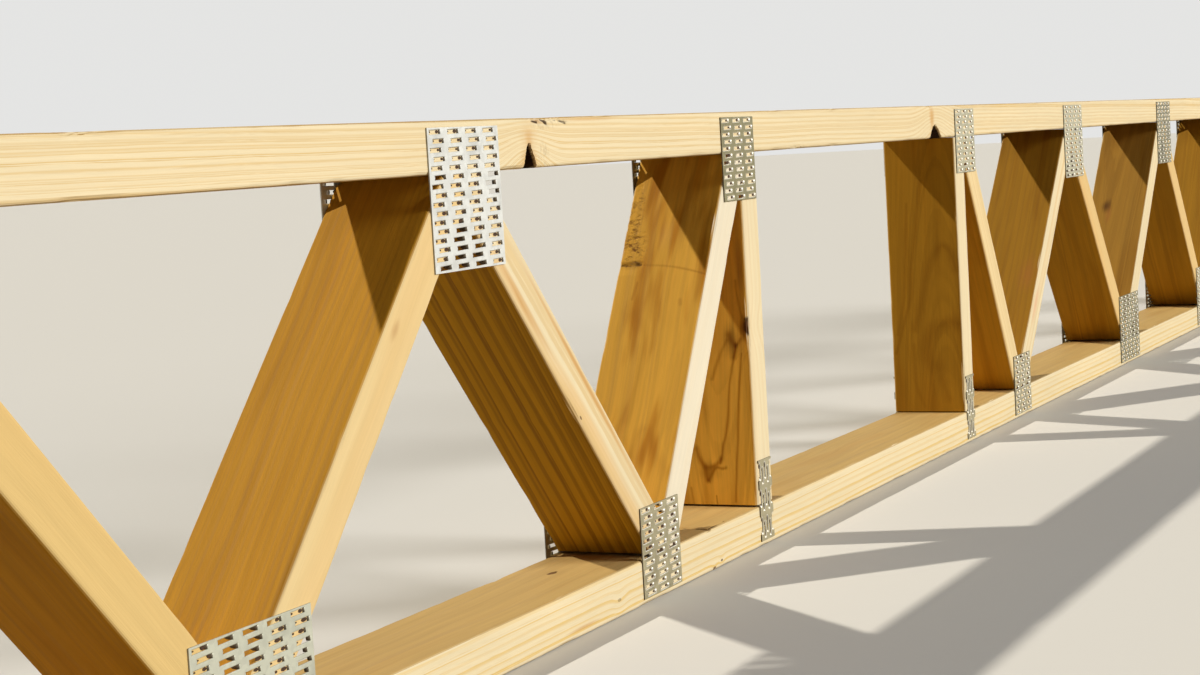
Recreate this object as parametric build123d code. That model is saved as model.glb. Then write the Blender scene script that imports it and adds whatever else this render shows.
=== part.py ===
from build123d import *
from math import copysign
import os

# Timber floor truss, stored as it stands in a floor. Millimetres.
# X runs along the truss and Z is up. The origin is on the middle of the duct
# chase, on the middle of the timber's width and on the underside of the
# bottom chord. The front face is at minus Y.

# Overall
LENGTH = 4876.8
DEPTH = 406.4

# Sawn timber, laid flat in both chords and in every web
TIMBER_THICK = 38.1
TIMBER_WIDE = 88.9
EDGE_RADIUS = 3.0

# Layout, outward from the middle of the chase
CHASE_CLEAR = 627.0
POST_TO_FOOT = 230.0
HALF_PANELS = 6
SEAT_INSET = 10.0
WEB_GAP = 1.0

# Punched plate: slots run along the plate's columns, staggered row by row
PLATE_THICK = 1.0
COLUMN_PITCH = 25.4
ROW_PITCH = 6.35
SLOT_LENGTH = 12.7
SLOT_WIDTH = 3.2
SLOT_STAGGER = 4.3
PLATE_TO_EDGE = 5.0

# Slot columns and rows of each plate, and whether its columns stand upright. An upright
# plate is cut so near its outer slots that they stay open along both its long edges.
# The lists run outward from the chase post to the end post.
SMALL = (3, 12, False)
SQUARE = (4, 16, False)
LARGE = (5, 16, False)
NARROW = (3, 5, True)
TOP_PLATES = [SMALL, SQUARE, SQUARE, SQUARE, SMALL]
BOTTOM_PLATES = [NARROW, SMALL, LARGE, LARGE, SQUARE]
# How far each plate on a panel point sits from its joint towards the chase
TOP_SHIFTS = {"left": [3.5, 0.0, 0.0], "right": [-16.0, -13.0, 0.0]}
BOTTOM_SHIFTS = {"left": [-8.0, 13.0, 0.0], "right": [-4.0, -16.0, 0.0]}

# Knot holes in the lower front arris of the top chord: place along the truss,
# half width and height on the face, and how far the tip leans to the side
KNOT_HOLES = [(-762.5, 9.5, 18.0, -1.0), (244.0, 22.0, 14.0, -2.0)]
KNOT_DEPTH = 26.0
KNOT_TAPER = 0.35
# How a knot hole narrows upward: share of its height, share of its half width
KNOT_ARCH = [(0.5, 0.66), (0.85, 0.36)]

# Worked out from the sizes above
WEB_LOW = TIMBER_THICK
WEB_HIGH = DEPTH - TIMBER_THICK
FACE_Y = TIMBER_WIDE / 2
POST_X = (CHASE_CLEAR + TIMBER_THICK) / 2
FIRST_FOOT_X = POST_X + POST_TO_FOOT
END_POST_X = (LENGTH - TIMBER_THICK) / 2
LAST_FOOT_X = END_POST_X - TIMBER_THICK / 2 - SEAT_INSET
HALF_PANEL = (LAST_FOOT_X - FIRST_FOOT_X) / HALF_PANELS
SIDES = {"left": -1, "right": 1}


def timber(start, end):
    """One sawn timber with eased long edges, from start to end in the truss's plane."""
    run = Vector(end[0] - start[0], 0, end[1] - start[1])
    middle = ((start[0] + end[0]) / 2, 0, (start[1] + end[1]) / 2)
    across = Plane(origin=middle, x_dir=(0, 1, 0), z_dir=run.normalized())
    section = across * RectangleRounded(TIMBER_WIDE, TIMBER_THICK, EDGE_RADIUS)
    return extrude(section, amount=run.length / 2, both=True)


def knot_outline(half_width, height, lean):
    """A narrow arch on a base below the arris."""
    sides = [(lean * up, half_width * out, height * up) for up, out in KNOT_ARCH]
    left = [(middle - half, z) for middle, half, z in sides]
    right = [(middle + half, z) for middle, half, z in reversed(sides)]
    base = -EDGE_RADIUS
    return Polygon((-half_width, base), *left, (lean, height), *right, (half_width, base), align=None)


def knot_hole(x, half_width, height, lean):
    """A tapering hole that a lost knot leaves in the lower front arris of the top chord."""
    mouth = Plane(origin=(x, -FACE_Y - EDGE_RADIUS, WEB_HIGH), x_dir=(1, 0, 0), z_dir=(0, -1, 0))
    inner = mouth.offset(-KNOT_DEPTH)
    wide = mouth * knot_outline(half_width, height, lean)
    small = inner * knot_outline(half_width * KNOT_TAPER, height * KNOT_TAPER, lean * KNOT_TAPER)
    return loft([wide, small])


def top_chord():
    level = DEPTH - TIMBER_THICK / 2
    chord = timber((-LENGTH / 2, level), (LENGTH / 2, level))
    for x, half_width, height, lean in KNOT_HOLES:
        chord -= knot_hole(x, half_width, height, lean)
    return chord


def bottom_chord():
    level = TIMBER_THICK / 2
    return timber((-LENGTH / 2, level), (LENGTH / 2, level))


def post(x):
    """An upright web, square-cut between the chords."""
    return timber((x, WEB_LOW), (x, WEB_HIGH))


def web_ends(number):
    """Where the centre line of a diagonal meets the chords: lower x and upper x."""
    if number == 1:
        return FIRST_FOOT_X, POST_X + TIMBER_THICK / 2 + SEAT_INSET
    inner = FIRST_FOOT_X + (number - 2) * HALF_PANEL
    outer = inner + HALF_PANEL
    if number % 2 == 0:
        return inner, outer
    return outer, inner


def web_walls(number):
    """The upright planes that cut the two ends of a diagonal."""
    low, high = sorted(web_ends(number))
    low += WEB_GAP / 2
    high -= WEB_GAP / 2
    if number == 1:
        low = POST_X + TIMBER_THICK / 2
    if number == HALF_PANELS + 1:
        high = END_POST_X - TIMBER_THICK / 2
    return low, high


def web(side, number):
    """A diagonal, cut level on the chords and upright against its neighbour."""
    foot, head = web_ends(number)
    low, high = web_walls(number)
    rise = WEB_HIGH - WEB_LOW
    slope = Vector(head - foot, 0, rise).normalized()
    beyond = slope * TIMBER_WIDE
    start = (side * (foot - beyond.X), WEB_LOW - beyond.Z)
    end = (side * (head + beyond.X), WEB_HIGH + beyond.Z)
    room = Box(high - low, 2 * TIMBER_WIDE, rise)
    room = Pos(side * (low + high) / 2, 0, (WEB_LOW + WEB_HIGH) / 2) * room
    return timber(start, end) & room


def plate_size(columns, rows, upright):
    """Width along the truss and height of a plate."""
    if upright:
        return rows * ROW_PITCH, columns * COLUMN_PITCH
    return columns * COLUMN_PITCH, rows * ROW_PITCH


def slot_places(columns, rows):
    """Slot centres along the columns and across the rows, alternate rows staggered."""
    places = []
    for row in range(rows):
        stagger = SLOT_STAGGER / 2 if row % 2 else -SLOT_STAGGER / 2
        across = (row - (rows - 1) / 2) * ROW_PITCH
        for column in range(columns):
            along = (column - (columns - 1) / 2) * COLUMN_PITCH + stagger
            places.append((along, across))
    return places


def slots(columns, rows, upright):
    """The slots of a plate, the outer rows of an upright one open to its edges."""
    found = []
    last = (rows - 1) / 2 * ROW_PITCH
    for along, across in slot_places(columns, rows):
        found.append(Pos(along, across) * Rectangle(SLOT_LENGTH, SLOT_WIDTH))
        if upright and abs(across) > last - ROW_PITCH / 2:
            outward = across + copysign(ROW_PITCH / 2, across)
            found.append(Pos(along, outward) * Rectangle(SLOT_LENGTH, ROW_PITCH))
    return found


def plate(x, z, facing, columns, rows, upright):
    """A punched plate pressed flat on the front or rear faces of a joint."""
    turn = 90 if upright else 0
    outline = Rectangle(columns * COLUMN_PITCH, rows * ROW_PITCH)
    punched = outline - slots(columns, rows, upright)
    face = Plane(origin=(x, facing * FACE_Y, z), x_dir=(-facing, 0, 0), z_dir=(0, facing, 0))
    return extrude(face * Rot(0, 0, turn) * punched, amount=PLATE_THICK)


def edge_shift(kind):
    """From a post's middle to the middle of a plate that stops just inside the post's free side."""
    return plate_size(*kind)[0] / 2 - TIMBER_THICK / 2 + PLATE_TO_EDGE


def panel_joints(first, shifts):
    """Plate centres on every second panel point, from the first one given."""
    points = [FIRST_FOOT_X + step * HALF_PANEL for step in range(first, HALF_PANELS, 2)]
    return [point - shift for point, shift in zip(points, shifts)]


def top_joints(side_name):
    """Plates along the top chord, outward: middle of the plate, and its kind."""
    at_chase = POST_X + edge_shift(TOP_PLATES[0])
    at_end = END_POST_X - edge_shift(TOP_PLATES[-1])
    return list(zip([at_chase] + panel_joints(1, TOP_SHIFTS[side_name]) + [at_end], TOP_PLATES))


def bottom_joints(side_name):
    """Plates along the bottom chord, outward: middle of the plate, and its kind."""
    at_end = END_POST_X - edge_shift(BOTTOM_PLATES[-1])
    return list(zip([POST_X] + panel_joints(0, BOTTOM_SHIFTS[side_name]) + [at_end], BOTTOM_PLATES))


def plates():
    """Every plate with its name: two faces of every joint on both sides of the chase."""
    found = {}
    for side_name, side in SIDES.items():
        for level, joints in (("top", top_joints(side_name)), ("bottom", bottom_joints(side_name))):
            for number, (middle, kind) in enumerate(joints):
                height = plate_size(*kind)[1]
                low = PLATE_TO_EDGE + height / 2
                z = DEPTH - low if level == "top" else low
                for face_name, facing in (("front", -1), ("rear", 1)):
                    name = f"plate_{level}_{side_name}_{number}_{face_name}"
                    found[name] = plate(side * middle, z, facing, *kind)
    return found


def timbers():
    """Every sawn timber with its name."""
    found = {"top_chord": top_chord(), "bottom_chord": bottom_chord()}
    for side_name, side in SIDES.items():
        found[f"chase_post_{side_name}"] = post(side * POST_X)
        found[f"end_post_{side_name}"] = post(side * END_POST_X)
        for number in range(1, HALF_PANELS + 2):
            found[f"web_{side_name}_{number}"] = web(side, number)
    return found


os.makedirs("parts", exist_ok=True)
for name, shape in {**timbers(), **plates()}.items():
    shape.label = name
    export_step(shape, f"parts/{name}.step")
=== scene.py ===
import math
import random

import bmesh
import bpy
from mathutils import Matrix, Vector, noise


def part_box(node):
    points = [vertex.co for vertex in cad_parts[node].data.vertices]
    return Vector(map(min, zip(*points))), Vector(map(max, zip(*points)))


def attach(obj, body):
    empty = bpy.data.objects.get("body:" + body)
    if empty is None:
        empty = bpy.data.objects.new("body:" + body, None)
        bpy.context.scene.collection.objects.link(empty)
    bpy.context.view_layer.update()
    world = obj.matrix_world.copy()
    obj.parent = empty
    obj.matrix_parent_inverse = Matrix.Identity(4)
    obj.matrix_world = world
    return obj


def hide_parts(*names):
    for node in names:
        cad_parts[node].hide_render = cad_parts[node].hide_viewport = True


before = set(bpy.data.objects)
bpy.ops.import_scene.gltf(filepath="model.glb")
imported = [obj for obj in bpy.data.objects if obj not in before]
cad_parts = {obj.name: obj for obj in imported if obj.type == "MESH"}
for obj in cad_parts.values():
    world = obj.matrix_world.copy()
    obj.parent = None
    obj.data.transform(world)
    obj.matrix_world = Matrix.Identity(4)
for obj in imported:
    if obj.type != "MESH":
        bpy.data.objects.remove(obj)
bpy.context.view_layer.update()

RANDOM_SEED = 7
MM = 0.001
scene = bpy.context.scene

# Sawn timber, in metres as everywhere here
TIMBER_THICK = 0.0381
TIMBER_WIDE = 0.0889
EDGE_RADIUS = 0.003
WEB_GAP = 0.001
SEAT_INSET = 0.010
LAST_WEB = 7
FOOT_GAP = (0.0010, 0.0020)
HEAD_GAP = (0.0002, 0.0006)
WALL_INSET = 0.0001
HOLE_DEPTH = 0.018
ARCH_POWER = 1.65

# Its mesh: places along it, corners round its section, and parts of the section's four sides,
# from the upper wide face on. Near a mark, the places lie close together.
STATION_STEP = 0.009
FINE_STEP = 0.0012
CORNER_STEPS = 4
PLAIN_SIDES = (14, 8, 14, 6)
MARKED_SIDES = (44, 22, 10, 6)

# Punched plates
COLUMN_PITCH = 0.0254
ROW_PITCH = 0.00635
SLOT_LENGTH = 0.0127
SLOT_WIDTH = 0.0031
SLOT_SLANT = 0.0002
SLOT_STAGGER = 0.0043
PLATE_THICK = 0.001
UPRIGHT_SHARE = 0.6
TOOTH_LENGTH = 0.0085
TOOTH_TIP = 0.0008
TOOTH_CREST = 0.00025
TOOTH_TAPER = ((0.55, SLOT_WIDTH * 0.45), (1.0, TOOTH_TIP / 2))
NUB_LENGTH = 0.0055
OUTER_NUB_LENGTH = 0.0022
BEND_RADIUS = 0.0012
BEND_STEPS = 4
# On plain sheets the crest past the bend's first step has the shank's painted shade
PLAIN_LIP_STEPS = 1
ROLL_WIDTH = 0.0005
ROLL_DEPTH = 0.0005
ROLL_INSET = 0.0008

# Painted shade beside the teeth, dark dishes where the tooth holes lie in shade: sizes of the
# dishes, and their rings as share and height
PIT_LENGTH = 0.0052
PIT_SIZES = (0.65, 1.15)
WEB_PIT_SHARE = 1.25
OTHER_PIT_SHARE = 0.9
NEAR_PIT_SHARE = 0.45
PIT_POINTS = 8
PIT_RINGS = ((1.0, -0.00005), (0.85, 0.00018), (0.35, 0.00010))

# The material slots of a plate
SHEET, SHANK_SHADE, LIP_GLINT, CUT = range(4)

# The camera of the photograph
IMAGE_WIDTH = 1200
FOCAL_PIXELS = 2207.1
SENSOR_WIDTH = 36.0
CAMERA_PLACE = Vector((-2.2381, -0.8267, 0.3817))
CAMERA_AZIMUTH = math.radians(63.60)
CAMERA_PITCH = math.radians(-4.94)
CAMERA_ROLL = math.radians(3.34)
CLIP_START = 0.01

# Colours of the wood
EARLY_EDGE = (0.87, 0.74, 0.48, 1)
LATE_EDGE = (0.72, 0.49, 0.19, 1)
# Wide-face colours, here and in the logs: partly the wood's own deeper colour, partly painted
# shade of faces turned from the light
EARLY_FACE_WITH_SHADE = (0.57, 0.285, 0.022, 1)
LATE_FACE_WITH_SHADE = (0.21, 0.085, 0.003, 1)
CHORD_FACE_WITH_SHADE = (0.545, 0.363, 0.133, 1)
HEART_TINT = (0.80, 0.48, 0.17, 1)
END_WOOD = (0.42, 0.25, 0.09, 1)
KNOT_WOOD = (0.17, 0.065, 0.018, 1)
TORN_WOOD = (0.17, 0.067, 0.011, 1)
STROKE_TINT = (0.50, 0.36, 0.14, 1)
BARK = (0.036, 0.013, 0.004, 1)
# Near black: painted shade inside the knot holes
HOLE_SHADE = (0.008, 0.004, 0.002, 1)
RESIN = (0.66, 0.36, 0.11, 1)
# A dark brown for real stains, and for painted shade where so marked
BROWN_STAIN_AND_SHADE = (0.19, 0.075, 0.008, 1)
RUDDY = (0.40, 0.15, 0.035, 1)
DARK = (0.09, 0.032, 0.005, 1)
FLAME = (0.36, 0.145, 0.006, 1)

# Faces of a timber, as places across its width and through it
FRONT, REAR = -0.0445, 0.0445
UPPER, LOWER = 0.019, -0.019
# Marks on single timbers, in the timber's own frame: along it, across its width, through it.
# A knot has its middle and direction, the radius and strength of its dark wood, how deep it
# reaches, and how far out and how much it pushes the rings aside.
KNOTS = {
    "top_chord": [
        ((-0.764, FRONT, -0.022), (0, 1, 0), 0.0, 0.0, 1.0, 0.026, 0.024),
        ((0.246, FRONT, -0.022), (0, 1, 0), 0.0, 0.0, 1.0, 0.045, 0.022),
    ],
    "bottom_chord": [
        ((-0.669, 0.008, UPPER), (0, 0.1, 1), 0.0034, 0.85, 1.0, 0.01, 0.003),
        ((-0.654, FRONT, -0.0045), (0, 1, 0.2), 0.0015, 0.4, 1.0, 0.01, 0.003),
        ((-0.459, FRONT, -0.017), (0, 1, 0), 0.0014, 0.8, 1.0, 0.006, 0.002),
        ((-0.4426, FRONT, -0.013), (0, 1, 0), 0.0013, 0.8, 1.0, 0.006, 0.002),
    ],
    "chase_post_left": [
        ((0.0045, -0.0438, UPPER), (0, 0, 1), 0.0046, 0.9, 0.0024, 0.014, -0.008),
        ((-0.008, -0.028, UPPER), (0, 0, 1), 0.0, 0.0, 1.0, 0.014, -0.004),
    ],
    "web_left_2": [((-0.0315, FRONT, 0.0143), (0, 1, 0), 0.0012, 0.8, 1.0, 0.005, 0.001)],
}
# A dent has its middle, radius, depth and stretch
DENTS = {
    "top_chord": [
        ((-0.735, FRONT, UPPER), 0.006, 0.0022, 3.0),
        ((-1.285, FRONT, UPPER), 0.005, 0.0009, 3.0),
        ((0.224, FRONT, UPPER), 0.005, 0.0012, 1.5),
        ((-0.2, FRONT, LOWER), 0.004, 0.001, 6.0),
    ],
    "bottom_chord": [
        ((-0.445, -0.036, UPPER), 0.005, 0.0003, 2.5),
        ((-0.708, REAR, UPPER), 0.004, 0.0012, 4.0),
    ],
    "chase_post_left": [((0.004, FRONT, UPPER), 0.005, 0.0012, 1.3)],
}
# A torn patch has its middle, reach and strength
TORN = {
    "top_chord": [
        ((-0.735, FRONT, 0.014), (0.026, 0.003, 0.006), 0.22),
        ((-0.741, FRONT, -0.01), (0.01, 0.003, 0.012), 0.3),
    ],
    "web_left_1": [
        ((0.086, 0.033, UPPER), (0.022, 0.015, 0.004), 0.95),
        ((0.12, 0.037, UPPER), (0.034, 0.009, 0.004), 0.75),
    ],
}
# A crack has its two ends and its half width
CRACKS = {
    "top_chord": [
        ((-0.756, -0.044, 0.0165), (-0.747, -0.0435, 0.0152), 0.0009),
        ((-0.7376, -0.0428, 0.0172), (-0.731, -0.043, 0.0145), 0.0015),
        ((-0.7185, -0.0437, 0.0174), (-0.7127, -0.044, 0.0165), 0.0013),
        ((-0.7127, -0.044, 0.0165), (-0.7001, FRONT, 0.014), 0.0011),
    ],
    "bottom_chord": [
        ((-0.464, -0.041, UPPER), (-0.46, -0.014, UPPER), 0.0016),
        ((-0.464, -0.041, UPPER), (-0.424, -0.0395, UPPER), 0.0007),
    ],
    "web_left_1": [((0.07, REAR, UPPER), (0.0708, 0.0225, UPPER), 0.0014)],
}
# A stain has its middle, reach, colour and strength
STAINS = {
    "top_chord": [
        ((-0.763, FRONT, 0.002), (0.007, 0.006, 0.009), RESIN, 0.45),
        ((-0.763, FRONT, 0.004), (0.016, 0.006, 0.018), RESIN, 0.3),
        ((-0.764, FRONT, -0.014), (0.016, 0.006, 0.012), RESIN, 0.75),
        ((0.232, FRONT, 0.004), (0.01, 0.006, 0.018), RESIN, 0.75),
        ((0.24, FRONT, -0.014), (0.028, 0.006, 0.01), RESIN, 0.7),
        ((-0.745, FRONT, 0.0165), (0.016, 0.006, 0.003), RUDDY, 0.55),
        ((-0.665, FRONT, 0.0165), (0.06, 0.006, 0.0022), RESIN, 0.5),
    ],
    "bottom_chord": [((-0.72, FRONT, -0.012), (0.03, 0.006, 0.002), RESIN, 0.6)],
    "web_left_1": [
        ((0.13, -0.012, UPPER), (0.05, 0.006, 0.004), BROWN_STAIN_AND_SHADE, 0.4),
        ((0.0705, 0.034, UPPER), (0.005, 0.014, 0.004), DARK, 0.3),
        ((0.1, 0.004, UPPER), (0.018, 0.008, 0.004), RESIN, 0.25),
    ],
    "chase_post_left": [
        ((0.0045, -0.0405, UPPER), (0.011, 0.0048, 0.004), (0.2, 0.06, 0.01, 1), 0.9),
        ((-0.009, -0.027, UPPER), (0.02, 0.01, 0.004), BROWN_STAIN_AND_SHADE, 0.7),
        ((-0.132, 0.0025, UPPER), (0.011, 0.011, 0.004), FLAME, 0.7),
        ((0.062, -0.038, UPPER), (0.028, 0.005, 0.004), RUDDY, 0.45),
    ],
    "web_right_4": [
        ((0.03, 0.018, UPPER), (0.016, 0.0095, 0.004), (0.08, 0.028, 0.006, 1), 0.85),
        ((0.012, 0.012, UPPER), (0.02, 0.007, 0.004), RUDDY, 0.4),
    ],
    "web_right_2": [
        ((-0.052, -0.03, UPPER), (0.036, 0.014, 0.004), RUDDY, 0.45),
        ((-0.092, FRONT, 0.006), (0.034, 0.004, 0.009), (0.8, 0.46, 0.26, 1), 0.6),
    ],
    "web_left_3": [
        ((0.079, FRONT, 0.0075), (0.01, 0.004, 0.005), RUDDY, 0.35),
        # Painted shade: a dark band along the front arris of the wide face
        ((-0.11, -0.043, UPPER), (0.13, 0.0035, 0.003), BROWN_STAIN_AND_SHADE, 0.55),
    ],
    "web_left_2": [
        ((0.105, FRONT, 0.011), (0.08, 0.006, 0.0048), RESIN, 0.85),
        ((-0.01, FRONT, -0.0125), (0.16, 0.006, 0.0028), RESIN, 0.85),
    ],
}
# A stroke is a bold line of the grain on the upper wide face: its half width, its strength and
# the places that it runs through, along and across. Its lengths are in millimetres.
STROKES = {
    "web_left_1": [
        (0.9, 0.45, (70.4, 26), (68.7, -3), (64.5, -25), (58.8, -44.5)),
        (4.5, 0.16, (-123, 0), (-96, -6), (-92, -14.5), (-114, -27.5), (-131, -40)),
        (4, 0.14, (22, 18), (-5, 4), (-51, 6), (-82, 8)),
        (1, 0.45, (52, 21.5), (36, 23.5)),
        (1.6, 0.35, (34, -23.5), (30, -24.5)),
    ],
    "chase_post_left": [
        (1.1, 0.75, (-14.8, -29.7), (-22.4, -27.8), (-37.8, -24.3), (-52.2, -21.4),
         (-74.7, -19.5), (-93.9, -16.7), (-106.7, -13), (-117.4, -10.8), (-123.9, -8.6)),
        (2.4, 0.75, (-120, -9.5), (-126, -3.9), (-128.3, 3.8), (-125.1, 8.8), (-118.7, 12.5),
         (-110.1, 15.1)),
        (2.2, 0.75, (-129, 6.5), (-134.5, 5.6), (-140.7, 4.5)),
        (1.5, 0.7, (-140, 4), (-132.5, -0.6), (-128.2, -4.8), (-129, -10.6), (-128.1, -14.5)),
        (1, 0.75, (-20.6, -35.6), (-33.1, -33.9), (-57.1, -30.9), (-82.1, -29), (-106.5, -27.4),
         (-127.9, -25), (-160, -22.6)),
        (1.4, 0.6, (-8, -20.8), (-18.4, -15.1), (-30, -9.7), (-44.4, -4.7)),
        (1, 0.5, (47.3, -32.3), (36.9, -32.6), (23.4, -35), (12.8, -37.5)),
        (0.9, 0.5, (-147.9, 22.3), (-163, 20.4)),
        (0.8, 0.6, (-155, -2.7), (-163.6, -3.2)),
        (2.8, 0.95, (-3, -23.2), (-8, -25.5), (-12.9, -29.8)),
        (2.4, 0.9, (-12.9, -29.8), (-18, -29.2), (-24, -27.7)),
        (1.8, 0.75, (-7, -35.2), (-11, -32.5), (-13.5, -30)),
    ],
    "chase_post_right": [
        (2, 0.35, (115, 0), (73, 6), (10, 15), (-27, 18.5), (-64, 30), (-92.5, 39)),
        (1.8, 0.3, (88, 18), (29, 22), (-27, 26), (-70, 36)),
        (4, 0.4, (-63, 14), (-33, 5), (13, -6.5), (31, -17), (36.6, -25), (27, -34), (8.5, -39)),
        (2.2, 0.3, (-83, 17), (-125, 18), (-158, 7)),
        (7, 0.45, (-59, -40), (-56, -28), (-65, -9), (-83.5, 1), (-102, -1), (-110, -10)),
        (4, 0.3, (-125, -16), (-149, -24)),
    ],
}
# A hole has its place, half width, height and lean
HOLES = {
    "top_chord": [(-0.7625, 0.0098, 0.019, -0.001), (0.244, 0.0225, 0.0155, -0.002)],
}
# How single timbers were sawn from their logs: the pith's place across and through, how it
# leans along the timber, the rings' spacing, how even they are and how much they wander, their
# contrast on the wide faces and on the edges, the share of reddish heart on the edges, and the
# wide faces' flames, streaks and tone. A tone or face colour listed here is partly painted light
# and shade, lighter or darker as the light falls on that board.
LOGS = {
    "top_chord": dict(pith=(-0.06, 0.11), lean=(0.004, -0.008), spacing=0.0048, even=0.2,
        edge=0.7, heart=0.15, face_colour=CHORD_FACE_WITH_SHADE),
    "bottom_chord": dict(pith=(0.004, -0.075), lean=(0.003, 0.004), spacing=0.0052, even=0.3,
        contrast=0.1, edge=0.72, late_edge=(0.8, 0.54, 0.16, 1), heart=0.0, flame=0.15,
        face_colour=CHORD_FACE_WITH_SHADE),
    "web_left_4": dict(pith=(0.09, -0.06), lean=(0.01, 0.0), spacing=0.006, contrast=0.15,
        tone=0.97, heart=0.2, edge=0.15, edge_colour=(0.76, 0.54, 0.22, 1)),
    "web_left_3": dict(pith=(0.12, -0.05), lean=(0.01, 0.0), spacing=0.0052, even=0.4,
        contrast=0.15, edge=0.15, tone=1.0, heart=0.4, flame=0.25, streak=0.4,
        edge_colour=(0.84, 0.64, 0.32, 1)),
    "web_left_2": dict(pith=(0.15, -0.075), lean=(-0.01, 0.0), spacing=0.0092, even=0.55,
        contrast=0.55, edge=0.5, tone=1.06, heart=0.9, flame=0.1,
        face_colour=(0.56, 0.298, 0.018, 1)),
    "web_left_1": dict(pith=(0.13, -0.045), lean=(0.02, -0.01), spacing=0.008, contrast=0.1,
        tone=1.28, heart=0.0, edge=0.1, flame=0.9, flame_rate=11.0, streak=0.5,
        edge_colour=(0.88, 0.79, 0.6, 1), face_colour=(0.57, 0.313, 0.04, 1)),
    "chase_post_left": dict(pith=(-0.011, -0.045), lean=(0.0, 0.05), spacing=0.0075, wander=0.003,
        contrast=0.14, tone=1.6, heart=0.2, edge=0.2, flame=0.5, flame_rate=9.0, streak=0.4,
        face_colour=(0.57, 0.312, 0.042, 1)),
    "chase_post_right": dict(pith=(-0.022, -0.05), lean=(0.01, -0.06), spacing=0.008,
        wander=0.003, contrast=0.18, tone=0.92, heart=0.2, edge=0.2, flame=0.4),
    "web_right_1": dict(pith=(0.1, -0.08), lean=(0.0, 0.0), spacing=0.007, contrast=0.15,
        tone=1.27, edge_colour=(0.87, 0.68, 0.37, 1)),
    "web_right_2": dict(pith=(0.08, -0.07), lean=(0.03, 0.02), spacing=0.0055, even=0.5,
        contrast=0.16, tone=0.62, flame=0.5),
    "web_right_3": dict(pith=(0.05, -0.07), lean=(0.0, 0.02), spacing=0.0065, contrast=0.2,
        tone=0.95, edge_colour=(0.81, 0.57, 0.25, 1)),
    "web_right_4": dict(pith=(0.02, -0.09), lean=(0.0, 0.02), spacing=0.007, contrast=0.2,
        tone=0.66, face_colour=(0.57, 0.3, 0.045, 1)),
    "web_right_5": dict(pith=(-0.03, -0.08), lean=(0.01, 0.0), spacing=0.006, contrast=0.2,
        tone=0.95, edge_colour=(0.81, 0.57, 0.25, 1)),
    "web_right_6": dict(pith=(0.04, -0.07), lean=(0.01, 0.0), spacing=0.006, contrast=0.2,
        tone=0.66),
}

# What the logs leave unsaid, apart from what log_for draws for each
COMMON_LOG = dict(wander=0.006, even=0.0, streak=0.25, flame_rate=5.0, edge_colour=EARLY_EDGE,
                  late_edge=LATE_EDGE, face_colour=EARLY_FACE_WITH_SHADE)

# Noise in the wood: its scales along, across and through the board, its detail and its roughness
WARP_SCALE = (6, 12, 12)
RING_WANDER = ((2.6, 14, 14), 1.0)
RING_RIPPLE = ((12, 90, 90), 2.0)
FIBRES = ((10, 1000, 1000), 3.0, 0.65)
STREAKS = ((2.2, 170, 170), 3.0, 0.6)
CLOUDS = ((5, 22, 22), 2.0)
HEARTS = ((0.8, 30, 30), 1.0)
FLAMES_ACROSS = 60
KNOT_EDGE = ((160, 160, 160), 1.0)
STROKE_BREADTH = ((30, 60, 60), 1.0)
CRACK_BEND = ((180, 180, 180), 2.0)
CRACK_BREADTH = ((70, 130, 70), 2.0)
BLOTCHES = ((230, 130, 130), 3.0, 0.6)
FLECKS = ((420, 250, 250), 2.0, 0.6)
PIT_GRAIN = ((500, 500, 500), 2.0)

# Where a value starts to count, and where it counts in full
LATE_RISE = (0.30, 0.80)
LATE_FALL = (0.86, 1.0)
WIDE_FACE = (0.66, 0.92)
END_FACE = (0.30, 0.55)
HEART_LEVEL = (0.50, 0.72)
FLAME_LEVEL = (0.46, 0.72)
BLOTCH_LEVEL = (0.44, 0.62)
FLECK_LEVEL = (0.42, 0.62)
PATCH_RIM = (0.4, 1.1)
STAIN_RIM = (0.0, 1.2)
STROKE_FACE = (0.0, 0.015)
HOLE_RIM = (1.0, 1.25)
HOLE_MOUTH = (0.0007, 0.0030)
HOLE_BACK = (HOLE_DEPTH * 1.5, HOLE_DEPTH * 1.6)

# Lengths by which the wood's pattern is bent
WARP = 0.016
RIPPLE = 0.0014
SHAKE = 0.006
CRACK_SWAY = 0.0036

# How knots are stretched along the grain, and how ragged they, the rings and the shades are
KNOT_STRETCH = (0.42, 1, 1)
SWIRL_STRETCH = (0.8, 1, 1)
KNOT_RAGGED = 0.8
RING_DRIFT = 0.6
RING_UNEVEN = 1.6
RING_FIBRES = 0.22
RING_CHANCE = 0.75
FIBRE_SHADE = 0.14
STREAK_SHADE = 0.12
CLOUD_SHADE = 0.14


class Value:
    """What a node gives at every point of a surface. Its arithmetic adds nodes."""

    def __init__(self, graph, socket):
        self.graph, self.socket = graph, socket

    def __add__(self, other):
        return self.work("ADD", other)

    def __sub__(self, other):
        return self.work("SUBTRACT", other)

    def __mul__(self, other):
        return self.work("MULTIPLY", other)


class Number(Value):
    def work(self, operation, *others):
        made = self.graph.node("Math", self, *others, operation=operation)
        return Number(self.graph, made.outputs[0])

    def __truediv__(self, other):
        return self.work("DIVIDE", other)

    def __abs__(self):
        return self.work("ABSOLUTE")

    def at_least(self, other):
        return self.work("MAXIMUM", other)

    def at_most(self, other):
        return self.work("MINIMUM", other)

    def about_zero(self, size):
        """Noise, turned to run between plus and minus half of size."""
        return (self - 0.5) * size

    def about_one(self, size):
        return self.about_zero(size) + 1.0

    def above(self, low, high, ends=(0.0, 1.0)):
        """0 up to low, 1 from high on, and smooth between them."""
        made = self.graph.node("MapRange", self, low, high, *ends,
                               interpolation_type="SMOOTHSTEP")
        return Number(self.graph, made.outputs[0])

    def below(self, low, high):
        return self.above(low, high, (1.0, 0.0))


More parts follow.
